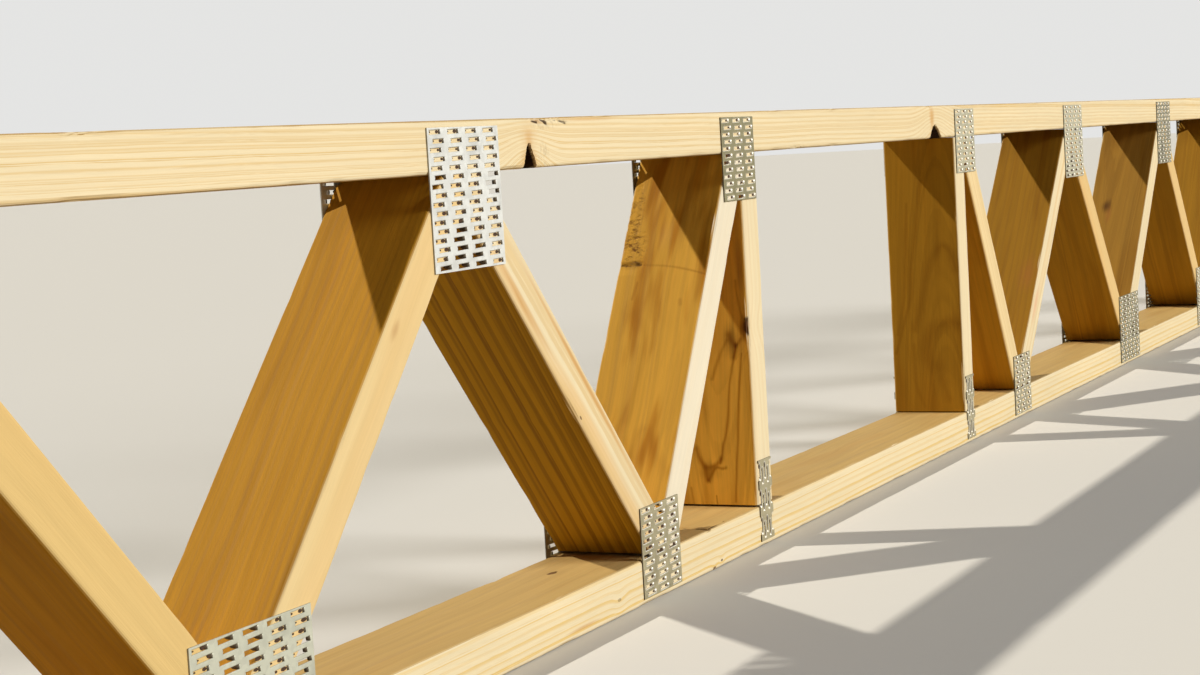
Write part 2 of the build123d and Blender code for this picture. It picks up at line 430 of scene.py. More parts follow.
class Place(Value):
    """A place or a direction."""

    def work(self, operation, *others):
        made = self.graph.node("VectorMath", self, *others, operation=operation)
        if operation in ("LENGTH", "DOT_PRODUCT"):
            return Number(self.graph, made.outputs["Value"])
        return Place(self.graph, made.outputs["Vector"])

    def dot(self, other):
        return self.work("DOT_PRODUCT", other)

    def length(self):
        return self.work("LENGTH")

    def from_axis(self, axis):
        """Distance to a straight line through the origin."""
        return self.work("CROSS_PRODUCT", axis).length()

    def parts(self):
        outputs = self.graph.node("SeparateXYZ", self).outputs
        return [Number(self.graph, part) for part in outputs]

    def from_segment(self, start, end):
        """Distance to a straight line between two points."""
        start, end = Vector(start), Vector(end)
        run = end - start
        away = self - tuple(start)
        share = away.dot(tuple(run / run.length_squared)).at_most(1.0).at_least(0.0)
        nearest = self.graph.node("VectorMath", tuple(run), operation="SCALE",
                                  inputs={"Scale": share})
        return (away - Place(self.graph, nearest.outputs["Vector"])).length()


class Graph:
    """Adds nodes to one node tree."""

    def __init__(self, tree):
        self.tree = tree

    def feed(self, node, inputs):
        for key, value in inputs.items():
            if isinstance(value, Value):
                self.tree.links.new(value.socket, node.inputs[key])
            else:
                node.inputs[key].default_value = value

    def node(self, kind, *values, inputs=(), **settings):
        """A node with these settings, its inputs fed with the values in turn, or by name."""
        made = self.tree.nodes.new(f"ShaderNode{kind}")
        for key, value in settings.items():
            setattr(made, key, value)
        self.feed(made, {**dict(enumerate(values)), **dict(inputs)})
        return made

    def noise_node(self, place, detail, roughness=0.5):
        return self.node("TexNoise", place,
                         inputs={"Scale": 1.0, "Detail": detail, "Roughness": roughness})

    def noise(self, place, scale, detail, roughness=0.5):
        return Number(self, self.noise_node(place * scale, detail, roughness).outputs["Fac"])

    def mix(self, share, first, second, blend="MIX"):
        made = self.node("Mix", data_type="RGBA", blend_type=blend,
                         inputs={0: share, 6: first, 7: second})
        return Value(self, made.outputs[2])

    def bump(self, height, distance, strength):
        inputs = {"Strength": strength, "Distance": distance, "Height": height}
        return Value(self, self.node("Bump", inputs=inputs).outputs["Normal"])

    def object_place(self):
        return Place(self, self.node("TexCoord").outputs["Object"])

    def seen_itself(self):
        """1 where the camera or a mirror image shows the surface, 0 where it only gives light."""
        rays = self.node("LightPath").outputs
        return Number(self, rays["Is Camera Ray"]).at_least(Value(self, rays["Is Glossy Ray"]))


def new_material(name):
    """A material with its graph and its surface shader."""
    material = bpy.data.materials.new(name)
    material.use_nodes = True
    return material, Graph(material.node_tree), material.node_tree.nodes["Principled BSDF"]


def add_piece(name, mesh, *materials):
    """An object made from a mesh under construction."""
    bmesh.ops.recalc_face_normals(mesh, faces=mesh.faces)
    data = bpy.data.meshes.new(name)
    mesh.to_mesh(data)
    mesh.free()
    for material in materials:
        data.materials.append(material)
    piece = bpy.data.objects.new(name, data)
    scene.collection.objects.link(piece)
    return piece


# Timber: colour

def smooth_path(path, parts=4):
    """Places on a smooth curve through the points of a path."""
    ends = [path[0], *path, path[-1]]
    places = [path[0]]
    for points in zip(ends, ends[1:], ends[2:], ends[3:]):
        for step in range(1, parts + 1):
            t = step / parts
            places.append(tuple(
                q + 0.5 * t * (r - p + t * (2 * p - 5 * q + 4 * r - s + t * (3 * (q - r) + s - p)))
                for p, q, r, s in zip(*points)))
    return places


class Wood:
    """A place in a board's own frame (along it, across its width, through it) and the noise
    there."""

    def __init__(self, graph, middle, angle, seed):
        self.graph, self.mix = graph, graph.mix
        mapping = graph.node("Mapping", graph.object_place(), middle, (0, -angle, 0),
                             vector_type="TEXTURE")
        self.place = Place(graph, mapping.outputs[0])
        self.along, self.across, self.through = self.place.parts()
        warp = graph.noise_node(self.place * WARP_SCALE + (seed, 0.0, 0.0), 1.0)
        self.warp = Place(graph, warp.outputs["Color"])
        self.shifted = self.warp * (0.0, WARP, WARP) + self.place + (seed * 3.7, seed * 1.3, 0.0)
        facing = Place(graph, graph.node("NewGeometry").outputs["Normal"])
        self.wide = abs(facing.dot((-math.sin(angle), 0.0, math.cos(angle)))).above(*WIDE_FACE)
        self.end = abs(facing.dot((math.cos(angle), 0.0, math.sin(angle)))).above(*END_FACE)
        self.fibres, self.streaks, self.clouds = map(self.noise, (FIBRES, STREAKS, CLOUDS))

    def noise(self, kind):
        return self.graph.noise(self.shifted, *kind)


def knot_values(wood, radius, knots):
    """Rings pushed aside by the knots, and where the knots' dark wood and darker rims are."""
    dark_all, rim_all = 0.0, 0.0
    for centre, direction, size, strength, reach, swirl, push in knots:
        axis = tuple(Vector(direction).normalized())
        away = wood.place - centre
        spread = (away * SWIRL_STRETCH).from_axis(axis) / swirl
        radius = (spread * spread * -1.0).work("EXPONENT") * push + radius
        if not size:
            continue
        ragged = wood.noise(KNOT_EDGE).about_zero(size * KNOT_RAGGED)
        near = (away * KNOT_STRETCH).from_axis(axis) + ragged
        inside = near.below(size * 0.6, size * 1.05)
        inside = inside * abs(away.dot(axis)).below(reach * 0.7, reach) * strength
        rim = near.above(size * 0.35, size * 0.8) * inside
        dark_all, rim_all = inside.at_least(dark_all), rim.at_least(rim_all)
    return radius, dark_all, rim_all


def growth_rings(wood, log, knots):
    """How much late wood shows, and the dark wood and the rims of the knots."""
    graph = wood.graph
    side = wood.across - (wood.along * log["lean"][0] + log["pith"][0])
    deep = wood.through - (wood.along * log["lean"][1] + log["pith"][1])
    radius = (side * side + deep * deep).work("SQRT")
    wander = wood.noise(RING_WANDER).about_zero(log["wander"])
    ripple = wood.noise(RING_RIPPLE).about_zero(RIPPLE)
    radius, knot, rim = knot_values(wood, radius + (wander + ripple), knots)
    count = radius / log["spacing"]
    uneven = graph.node("TexNoise", noise_dimensions="1D",
                        inputs={"W": count * RING_DRIFT + log["seed"]})
    count = Number(graph, uneven.outputs["Fac"]) * (RING_UNEVEN * (1 - log["even"])) + count
    count = wood.fibres * RING_FIBRES + count
    phase = count.work("FRACT")
    ring = graph.node("TexWhiteNoise", noise_dimensions="1D", inputs={"W": count.work("FLOOR")})
    chance = RING_CHANCE * (1 - log["even"])
    late = phase.above(*LATE_RISE) * phase.below(*LATE_FALL)
    return late * (Number(graph, ring.outputs["Value"]) * chance + (1 - chance)), knot, rim


def sawn_colour(wood, log, late):
    """The colour of clean wood: heart, flames, late wood, streaks, clouds and end grain, with
    painted shade that darkens the wide faces.
    """
    wide, mix = wood.wide, wood.mix
    early = mix(wide, log["edge_colour"], log["face_colour"])
    heart = wood.noise(HEARTS).above(*HEART_LEVEL) * (wide * -1.0 + 1.0) * log["heart"]
    early = mix(heart, early, mix(0.6, early, HEART_TINT))
    flames = wood.noise(((log["flame_rate"], FLAMES_ACROSS, FLAMES_ACROSS), 2.0))
    flames = flames.above(*FLAME_LEVEL)
    early = mix(flames * wide * log["flame"], early, FLAME)
    contrast = wide * (log["contrast"] - log["edge"]) + log["edge"]
    shown = late * (contrast * (wood.clouds + 0.8))
    colour = mix(shown, early, mix(wide, log["late_edge"], LATE_FACE_WITH_SHADE))
    streaks = wood.streaks.about_zero(log["streak"]) * wide + wood.streaks.about_one(STREAK_SHADE)
    tone = wide * (log["tone"] - 1.0) + 1.0
    shade = wood.fibres.about_one(FIBRE_SHADE) * streaks
    shade = shade * (wood.clouds.about_one(CLOUD_SHADE) * tone)
    colour = mix(1.0, colour, shade, "MULTIPLY")
    return mix(wood.end * 0.5, colour, END_WOOD)


def draw_strokes(wood, colour, strokes):
    """Bold lines of the grain on the upper wide face, broken as the grain is."""
    if not strokes:
        return colour
    shaken = wood.warp * (0.0, SHAKE, 0.0) + wood.place - (0.0, SHAKE / 2, 0.0)
    shown = wood.wide * wood.through.above(*STROKE_FACE)
    shown = shown * (wood.clouds.about_one(1.4) * wood.streaks.about_one(0.8))
    breadth = wood.noise(STROKE_BREADTH).about_one(1.1)
    for half, strength, *path in strokes:
        half *= MM
        path = smooth_path(path) if len(path) > 2 else path
        places = [(x * MM, y * MM, TIMBER_THICK / 2) for x, y in path]
        near = 1.0
        for start, end in zip(places, places[1:]):
            near = shaken.from_segment(start, end).at_most(near)
        near = (near + wood.fibres.about_zero(half * 1.4)) / breadth
        line = near.below(-0.3 * half, half * 2.2) * shown
        colour = wood.mix(line * strength, colour, STROKE_TINT, "MULTIPLY")
    return colour


def from_patch(wood, centre, reach):
    """Distance from the middle of a patch, 1 at its reach."""
    return ((wood.place - centre) * tuple(1 / part for part in reach)).length()


def draw_stains(wood, colour, stains):
    for centre, reach, tint, strength in stains:
        gap = from_patch(wood, centre, reach) + wood.streaks.about_zero(1.2)
        colour = wood.mix(gap.below(*STAIN_RIM) * strength, colour, tint)
    return colour


def draw_torn(wood, colour, rough, patches):
    """Torn fibres: dark blotches, in them darker flecks."""
    for centre, reach, strength in patches:
        tears, flecks = wood.noise(BLOTCHES), wood.noise(FLECKS).above(*FLECK_LEVEL)
        tears = tears.above(*BLOTCH_LEVEL)
        tears = tears * (flecks * 0.70 + 0.30) * from_patch(wood, centre, reach).below(*PATCH_RIM)
        colour = wood.mix(tears * strength, colour, TORN_WOOD)
        rough = tears.at_least(rough)
    return colour, rough


def draw_cracks(wood, colour, rough, cracks):
    graph = wood.graph
    for start, end, half in cracks:
        sway = wood.noise(CRACK_BEND).about_zero(CRACK_SWAY)
        sway = Place(graph, graph.node("CombineXYZ", sway).outputs[0])
        breadth = wood.noise(CRACK_BREADTH).about_one(1.3)
        near = (wood.place + sway).from_segment(start, end) / breadth
        line = near.below(half * 0.6, half * 1.3)
        colour = wood.mix(line * 0.92, colour, BARK)
        rough = line.at_least(rough)
    return colour, rough


def draw_holes(wood, colour, holes):
    """Painted shade in the knot holes, mixed with dark bark, no deeper than they reach."""
    deep = wood.across + TIMBER_WIDE / 2
    for x, half_width, height, lean in holes:
        away = wood.place - (x + lean, -TIMBER_WIDE / 2, -TIMBER_THICK / 2)
        gap = (away * (1 / half_width, 0.0, 1 / height)).length()
        hole_shade_mask = gap.below(*HOLE_RIM) * (deep.above(*HOLE_MOUTH) * deep.below(*HOLE_BACK))
        colour = wood.mix(hole_shade_mask, colour, wood.mix(wood.streaks, HOLE_SHADE, BARK))
    return colour


def timber_material(name, middle, angle, log, marks):
    """Softwood cut from a log: growth rings about a pith line, knots, fibres and end grain."""
    material, graph, shader = new_material(f"timber_{name}")
    wood = Wood(graph, middle, angle, log["seed"])
    late, knot, rim = growth_rings(wood, log, marks["knots"])
    colour = draw_strokes(wood, sawn_colour(wood, log, late), marks["strokes"])
    colour = draw_stains(wood, colour, marks["stains"])
    if marks["knots"]:
        colour = graph.mix(knot, colour, graph.mix(wood.fibres, KNOT_WOOD, BARK))
        colour = graph.mix(rim * 0.7, colour, BARK)
    colour, rough = draw_torn(wood, colour, 0.0, marks["torn"])
    colour, rough = draw_cracks(wood, colour, rough, marks["cracks"])
    colour = draw_holes(wood, colour, marks["holes"])
    height = late * 0.25 + wood.fibres * 0.9 + rough * -2.0
    graph.feed(shader, {"Base Color": colour, "Roughness": late * -0.12 + 0.68,
                        "Normal": graph.bump(height, 0.00025, 0.6), "Specular IOR Level": 0.1})
    return material


# Timber: shape

def timber_angle(name):
    """How a timber leans. A diagonal's centre line runs from joint to joint."""
    if name.endswith("chord"):
        return 0.0
    if "post" in name:
        return math.pi / 2
    low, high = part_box(name)
    side, number = name.split("_")[1:]
    number = int(number)
    run = high.x - low.x + WEB_GAP
    if number in (1, LAST_WEB):
        run = high.x - low.x + WEB_GAP / 2 - SEAT_INSET
    outward = 1 if side == "right" else -1
    lean = outward if number % 2 == 0 else -outward
    return math.atan2(high.z - low.z, lean * run)


def section_points(side_steps):
    """Points round a timber's section: across, through, and the outward direction of each."""
    y, z = TIMBER_WIDE / 2 - EDGE_RADIUS, TIMBER_THICK / 2 - EDGE_RADIUS
    corners = [(y, z), (-y, z), (-y, -z), (y, -z)]
    points = []

    def add(place, turn):
        out = math.cos(turn), math.sin(turn)
        points.append((place[0] + EDGE_RADIUS * out[0], place[1] + EDGE_RADIUS * out[1], *out))

    for k, (corner, after) in enumerate(zip(corners, corners[1:] + corners[:1])):
        for step in range(CORNER_STEPS + 1):
            add(corner, math.pi / 2 * (k + step / CORNER_STEPS))
        for step in range(1, side_steps[k]):
            share = step / side_steps[k]
            place = [here + (there - here) * share for here, there in zip(corner, after)]
            add(place, math.pi / 2 * (k + 1))
    return points


def station_places(length, fine_spots):
    """Places along a timber, close together near its marks."""
    places = [-length / 2]
    while places[-1] < length / 2:
        here = places[-1]
        near = any(abs(here - spot) < reach for spot, reach in fine_spots)
        places.append(min(here + (FINE_STEP if near else STATION_STEP), length / 2))
    return places


def noise_at(x, y, z, along, across, shift=0.0):
    """Noise at a point of a timber, by how fast it changes along the timber and across it."""
    return noise.noise(Vector((x * along + shift, y * across, z * across)))


def hole_depth(x, z, hole):
    """How deep a knot hole is behind a point of the front face. It is a narrow arch: share is 0
    at the middle of its base and 1 on its outline."""
    place, half_width, height, lean = hole
    tip = max(0.0, (z + TIMBER_THICK / 2) / height)
    share = (abs(x - place - lean * tip) / half_width) ** ARCH_POWER + tip
    share += 0.10 * noise.noise(Vector((x * 300, z * 300, 3.0)))
    if share >= 1:
        return 0.0
    rough = 1 + 0.35 * noise.noise(Vector((x * 500, z * 250, 9.0)))
    return min(1.0, (1 - share) * 3.5) * HOLE_DEPTH * rough


def wear(x, y, z, corner, seed):
    """How far the sawn surface lies inside the ideal one."""
    depth = 0.00012 + 0.00008 * noise_at(x, y, z, 7, 20, seed)
    depth += 0.00004 * noise_at(x, y, z, 60, 500, seed)
    if corner:
        depth += 0.0011 * max(0.0, noise_at(x, y, z, 35, 9, seed) - 0.15)
    return depth


def mark_depth(x, y, z, marks):
    """How far dents, torn patches and cracks push a point in."""
    depth = 0.0
    for (cx, cy, cz), radius, deep, stretch in marks["dents"]:
        gap = math.hypot((x - cx) / stretch, y - cy, z - cz) / radius
        if gap < 2:
            ragged = 0.7 + 0.9 * noise_at(x, y, z, 160, 600)
            depth += deep * math.exp(-gap * gap) * max(0.0, ragged)
    for (cx, cy, cz), (along, wide, thick), _ in marks["torn"]:
        if math.hypot((x - cx) / along, (y - cy) / wide, (z - cz) / thick) < 1:
            depth += 0.0006 * max(0.0, noise_at(x, y, z, 300, 260))
    for start, end, half in marks["cracks"]:
        start, run = Vector(start), Vector(end) - Vector(start)
        away = Vector((x, y, z)) - start
        share = min(1.0, max(0.0, away.dot(run) / run.length_squared))
        gap = (away - run * share).length
        reach = half * 2.5
        if gap < reach:
            depth += half * (1 - gap / reach)
    return depth


def fine_spots(marks):
    """Where a timber's mesh is finer for its marks: places along it, each with a reach."""
    spots = [(mark[0][0], mark[1] * mark[3] * 1.6) for mark in marks["dents"]]
    spots += [(hole[0], hole[1] * 1.3) for hole in marks["holes"]]
    spots += [((a[0] + b[0]) / 2, abs(b[0] - a[0]) / 2 + 0.003) for a, b, _ in marks["cracks"]]
    return spots + [(mark[0][0], mark[1][0]) for mark in marks["torn"]]


def cut(mesh, point, outward):
    """Cuts away what lies beyond a plane, and closes the cut."""
    geometry = mesh.verts[:] + mesh.edges[:] + mesh.faces[:]
    result = bmesh.ops.bisect_plane(mesh, geom=geometry, dist=1e-7, plane_co=point,
                                    plane_no=outward, clear_outer=True)
    edges = [item for item in result["geom_cut"] if isinstance(item, bmesh.types.BMEdge)]
    if edges:
        bmesh.ops.contextual_create(mesh, geom=edges)


def build_timber(name, middle, angle, marks, seed, rng):
    """One timber as sawn, with its worn edges, dents and holes."""
    low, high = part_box(name)
    chord, web = name.endswith("chord"), name.startswith("web")
    length = high.x - low.x if chord else (high.z - low.z) / math.sin(angle)
    if web:
        length += 2 * TIMBER_WIDE
    run = Vector((math.cos(angle), 0, math.sin(angle)))
    through = Vector((-math.sin(angle), 0, math.cos(angle)))
    spots = fine_spots(marks)
    points = section_points(MARKED_SIDES if spots else PLAIN_SIDES)
    mesh = bmesh.new()
    previous = None
    for x in station_places(length, spots):
        ring = []
        for y, z, out_y, out_z in points:
            corner = abs(out_y * out_z) > 0.01
            depth = wear(x, y, z, corner, seed) + mark_depth(x, y, z, marks)
            across, up = y - out_y * depth, z - out_z * depth
            for hole in marks["holes"]:
                if abs(x - hole[0]) < hole[1] * 1.3:
                    across = max(across, hole_depth(x, z, hole) - TIMBER_WIDE / 2)
            ring.append(mesh.verts.new(middle + run * x + Vector((0, across, 0)) + through * up))
        if previous:
            for k in range(len(ring)):
                mesh.faces.new((previous[k], previous[k - 1], ring[k - 1], ring[k]))
        else:
            mesh.faces.new(ring)
        previous = ring
    mesh.faces.new(reversed(previous))
    if web:
        cut(mesh, (low.x + WALL_INSET, 0, 0), (-1, 0, 0))
        cut(mesh, (high.x - WALL_INSET, 0, 0), (1, 0, 0))
    if not chord:
        cut(mesh, (0, 0, low.z + rng.uniform(*FOOT_GAP)), (0, 0, -1))
        cut(mesh, (0, 0, high.z - rng.uniform(*HEAD_GAP)), (0, 0, 1))
        bmesh.ops.remove_doubles(mesh, verts=mesh.verts, dist=0.00003)
        bmesh.ops.dissolve_degenerate(mesh, edges=mesh.edges, dist=0.00001)
    return mesh


def log_for(name, rng):
    """The log that a timber was sawn from."""
    drawn = {
        "seed": rng.uniform(1, 90),
        "pith": (rng.uniform(-0.09, 0.09), -rng.uniform(0.045, 0.09)),
        "lean": (rng.uniform(-0.03, 0.03), rng.uniform(-0.06, 0.06)),
        "spacing": rng.uniform(0.0050, 0.0080),
        "contrast": rng.uniform(0.15, 0.40),
        "edge": rng.uniform(0.2, 0.6),
        "heart": rng.uniform(0.1, 0.7),
        "tone": rng.uniform(0.85, 1.0),
        "flame": rng.uniform(0.2, 0.5),
    }
    return {**COMMON_LOG, **drawn, **LOGS.get(name, {})}


def nodes_of(plates):
    """The plates' nodes or the timbers', sorted."""
    return sorted(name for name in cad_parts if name.startswith("plate") == plates)


def dress_timbers():
    rng = random.Random(RANDOM_SEED)
    tables = dict(knots=KNOTS, dents=DENTS, torn=TORN, cracks=CRACKS, stains=STAINS,
                  strokes=STROKES, holes=HOLES)
    for name in nodes_of(plates=False):
        low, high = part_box(name)
        middle, angle = (low + high) / 2, timber_angle(name)
        marks = {kind: table.get(name, []) for kind, table in tables.items()}
        log = log_for(name, rng)
        mesh = build_timber(name, middle, angle, marks, log["seed"], rng)
        piece = add_piece(f"sawn_{name}", mesh, timber_material(name, middle, angle, log, marks))
        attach(piece, "root")
        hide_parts(name)


# Punched plates: their finishes, as colour, how metallic and how rough, and the plates that
# don't have the middling one. Their brightness from white to drab is partly the sheets' own
# finish and partly painted light and shade: lit and shaded copies of one zinc. Plain sheets
# have no painted highlight on their lips.
ZINC = {
    "white": ((0.78, 0.79, 0.75, 1), 0.35, 0.40),
    "dull": ((0.63, 0.635, 0.51, 1), 0.35, 0.40),
    "pale": ((0.54, 0.51, 0.36, 1), 0.75, 0.36),
    "middling": ((0.53, 0.475, 0.305, 1), 0.8, 0.32),
    "grey": ((0.34, 0.305, 0.165, 1), 0.85, 0.27),
    "drab": ((0.25, 0.225, 0.115, 1), 0.85, 0.27),
    # Painted highlight: bright zinc on the bends and rolled slot edges of front sheets that are
    # not plain
    "lip": ((0.83, 0.79, 0.67, 1), 0.55, 0.30),
    # Painted shade: dark zinc on the teeth past their bend, on the crest past the lip steps, and
    # on the slot walls of sheets that are not plain
    "shank": ((0.14, 0.11, 0.07, 1), 0.5, 0.5),
    "cut": ((0.40, 0.38, 0.32, 1), 0.5, 0.5),
}
PLAIN_SHEETS = ("white", "dull")
SHEET_SHADES = {
    "top_left_0": "grey", "top_left_1": "white", "top_right_0": "pale", "top_right_1": "pale",
    "top_right_2": "drab", "bottom_left_2": "dull", "bottom_right_2": "grey",
}
SPANGLE_SCALE = 220.0
ZINC_CLOUDS = ((45, 45, 45), 3.0)
ZINC_SCUFFS = ((260, 260, 1600), 2.0)
PATCH_LEVEL = (0.48, 0.72)
SPANGLE_SHADE, PATCH_SHADE = 0.9, 0.78


def zinc_material(kind):
    """Galvanised sheet: dull zinc with a faint spangle, scuffs and darker patches."""
    colour, metallic, smooth = ZINC[kind]
    material, graph, shader = new_material(f"zinc_{kind}")
    place = graph.object_place()
    cells = graph.node("TexVoronoi", place, inputs={"Scale": SPANGLE_SCALE})
    spangle = Place(graph, cells.outputs["Color"]).parts()
    clouds, scuffs = graph.noise(place, *ZINC_CLOUDS), graph.noise(place, *ZINC_SCUFFS)
    duller, dark = (tuple(share * part for part in colour[:3]) + (1,)
                    for share in (SPANGLE_SHADE, PATCH_SHADE))
    colour = graph.mix(clouds.above(*PATCH_LEVEL), graph.mix(spangle[0], colour, duller), dark)
    rough = scuffs * 0.15 + (spangle[1] * 0.12 + smooth)
    graph.feed(shader, {"Base Color": colour, "Metallic": metallic, "Roughness": rough,
                        "Normal": graph.bump(clouds + scuffs, 0.0001, 0.4)})
    return material


def pit_shade_material():
    """Painted shade beside the teeth, dark because the tooth holes lie in shade."""
    material, graph, shader = new_material("pit")
    grain = graph.noise(graph.object_place(), *PIT_GRAIN)
    colour = graph.mix(grain, (0.020, 0.009, 0.004, 1), (0.10, 0.045, 0.018, 1))
    graph.feed(shader, {"Base Color": colour, "Roughness": 0.9,
                        "Normal": graph.bump(grain, 0.0004, 0.8)})
    return material


def add_tooth(mesh, start, way, out, across, length, lip_steps):
    """A tooth that leaves the sheet at start and bends away from out, its outer face crested. Over
    the bend's first steps that face has the lip finish, a painted highlight on front sheets that
    are not plain; past them the crested face, and all of the shank, have the shank's painted
    shade. Gives its root corners: the outer face's two, then the inner's."""
    middle = BEND_RADIUS + PLATE_THICK / 2
    rings = []
    for step in range(BEND_STEPS + 1):
        turn = math.pi / 2 * step / BEND_STEPS
        lift = middle * (math.cos(turn) - 1)
        room = (PLATE_THICK / 2 - lift) / max(math.cos(turn), 0.1) - PLATE_THICK / 2
        rings.append((middle * math.sin(turn), lift, turn, SLOT_WIDTH / 2, min(TOOTH_CREST, room)))
    for share, half in TOOTH_TAPER:
        lift = -middle - share * (length - middle)
        rings.append((middle, lift, math.pi / 2, half, TOOTH_CREST * (1 - share)))
    previous, root = None, None
    for number, (forward, lift, turn, half, crest) in enumerate(rings):
        centre = start + way * forward + out * lift
        facing = out * math.cos(turn) + way * math.sin(turn)
        face = facing * (PLATE_THICK / 2)
        corners = [centre + face - across * half, centre + face + across * half,
                   centre - face + across * half, centre - face - across * half]
        if root:
            corners.append(centre + face + facing * crest)
        ring = [mesh.verts.new(corner) for corner in corners]
        if not root:
            root = previous = ring
            continue
        sides = [(previous[k], previous[after], ring[after], ring[k])
                 for k, after in ((1, 2), (2, 3), (3, 0))]
        if previous is root:
            crested = [(root[0], root[1], ring[4]), (root[0], ring[4], ring[0]),
                       (root[1], ring[1], ring[4])]
        else:
            crested = [(previous[0], previous[4], ring[4], ring[0]),
                       (previous[4], previous[1], ring[1], ring[4])]
        bent = number <= BEND_STEPS
        for corners in sides:
            mesh.faces.new(corners).material_index = SHEET if bent else SHANK_SHADE
        for corners in crested:
            made = mesh.faces.new(corners)
            made.material_index = LIP_GLINT if bent and number <= lip_steps else SHANK_SHADE
            made.smooth = bent
        previous = ring
    mesh.faces.new([previous[k] for k in (0, 4, 1, 2, 3)]).material_index = SHANK_SHADE
    return root


def plate_grid(name):
    """A plate's middle, its slot columns and rows, their directions, its outward side, and
    whether it is an upright one."""
    low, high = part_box(name)
    size, middle = high - low, (low + high) / 2
    facing = -1 if name.endswith("front") else 1
    level, up, out = Vector((-facing, 0, 0)), Vector((0, 0, 1)), Vector((0, facing, 0))
    upright = size.x < size.z * UPRIGHT_SHARE
    long, short, along, across = ((size.z, size.x, up, -level) if upright
                                  else (size.x, size.z, level, up))
    columns, rows = round(long / COLUMN_PITCH), round(short / ROW_PITCH)
    return middle, columns, rows, along, across, out, upright


def wood_behind(x, z, timbers):
    """The timber whose side lies behind a place on a plate, if one does."""
    margin = 0.001
    for name, low, high, angle in timbers:
        if not (low.x + margin < x < high.x - margin and low.z + margin < z < high.z - margin):
            continue
        if not name.startswith("web"):
            return name
        middle = (low + high) / 2
        off = -(x - middle.x) * math.sin(angle) + (z - middle.z) * math.cos(angle)
        if abs(off) < TIMBER_THICK / 2 - margin:
            return name
    return None


def add_pit(mesh, centre, along, across, out, long, half):
    """Painted shade beside a tooth: a dark low dish on the timber over the tooth's hole."""
    rings = []
    for share, lift in PIT_RINGS:
        ring = []
        for k in range(PIT_POINTS):
            turn = 2 * math.pi * k / PIT_POINTS
            ring.append(mesh.verts.new(centre + along * (math.cos(turn) * long / 2 * share)
                                       + across * (math.sin(turn) * half * share) + out * lift))
        rings.append(ring)
    for lower, upper in zip(rings, rings[1:]):
        for k in range(PIT_POINTS):
            mesh.faces.new((lower[k - 1], lower[k], upper[k], upper[k - 1]))
    mesh.faces.new(rings[-1])
    mesh.faces.new(reversed(rings[0]))


def build_cell(mesh, corners, left, right, openings, borders):
    """The sheet round one slot. Corners run round the cell from its low left one, and left and
    right are the slot's ends, low corner first. Openings and borders name the cell's sides that
    the slot breaks through, and the sides that lie on the plate's edge."""
    def both_sides(*pairs):
        mesh.faces.new([pair[0] for pair in pairs])
        mesh.faces.new([pair[1] for pair in reversed(pairs)])

    def wall(first, second):
        mesh.faces.new((first[0], first[1], second[1], second[0])).material_index = CUT

    def rolled_wall(first, second, outward):
        """The slot's long wall, its outer edge rolled in, the roll with the lip's painted
        highlight.
        Gives the brim on the sheet's face.
        """
        run = (second[0].co - first[0].co).normalized() * ROLL_INSET
        down = (first[1].co - first[0].co).normalized() * ROLL_DEPTH
        starts = first[0].co + run, second[0].co - run
        brim = [mesh.verts.new(place + outward * ROLL_WIDTH) for place in starts]
        edge = [mesh.verts.new(place + down) for place in starts]
        for corners in ((brim[0], brim[1], edge[1], edge[0]), (first[0], brim[0], edge[0]),
                        (second[0], edge[1], brim[1])):
            mesh.faces.new(corners).material_index = LIP_GLINT
        below = mesh.faces.new((first[0], edge[0], edge[1], second[0], second[1], first[1]))
        below.material_index = CUT
        return brim

    def on_edge(inner, first, second):
        """The place on the cell's side beyond a corner of the slot."""
        run = second[0].co - first[0].co
        share = (inner[0].co - first[0].co).dot(run) / run.length_squared
        return tuple(mesh.verts.new(a.co.lerp(b.co, share)) for a, b in zip(first, second))

    a, b, c, d = corners
    across = (d[0].co - a[0].co).normalized()
    (low_left, high_left), (low_right, high_right) = left, right
    starts, stops = {"low": (), "high": ()}, {"low": (), "high": ()}
    for side, first, second, near, far in (("low", a, b, low_left, low_right),
                                           ("high", d, c, high_left, high_right)):
        if side in openings:
            start, stop = on_edge(near, first, second), on_edge(far, first, second)
            for inner, outer in ((near, start), (far, stop), (first, start), (stop, second)):
                wall(inner, outer)
            starts[side], stops[side] = (start,), (stop,)
        else:
            outward = (first[0].co - near[0].co).project(across).normalized()
            brim = rolled_wall(near, far, outward)
            mesh.faces.new((first[0], second[0], far[0], brim[1], brim[0], near[0]))
            mesh.faces.new((first[1], near[1], far[1], second[1]))
            if side in borders:
                wall(first, second)
    both_sides(d, a, *starts["low"], low_left, high_left, *starts["high"])
    both_sides(b, c, *stops["high"], high_right, low_right, *stops["low"])
    for side, first, second in (("left", d, a), ("right", b, c)):
        if side in borders:
            wall(first, second)


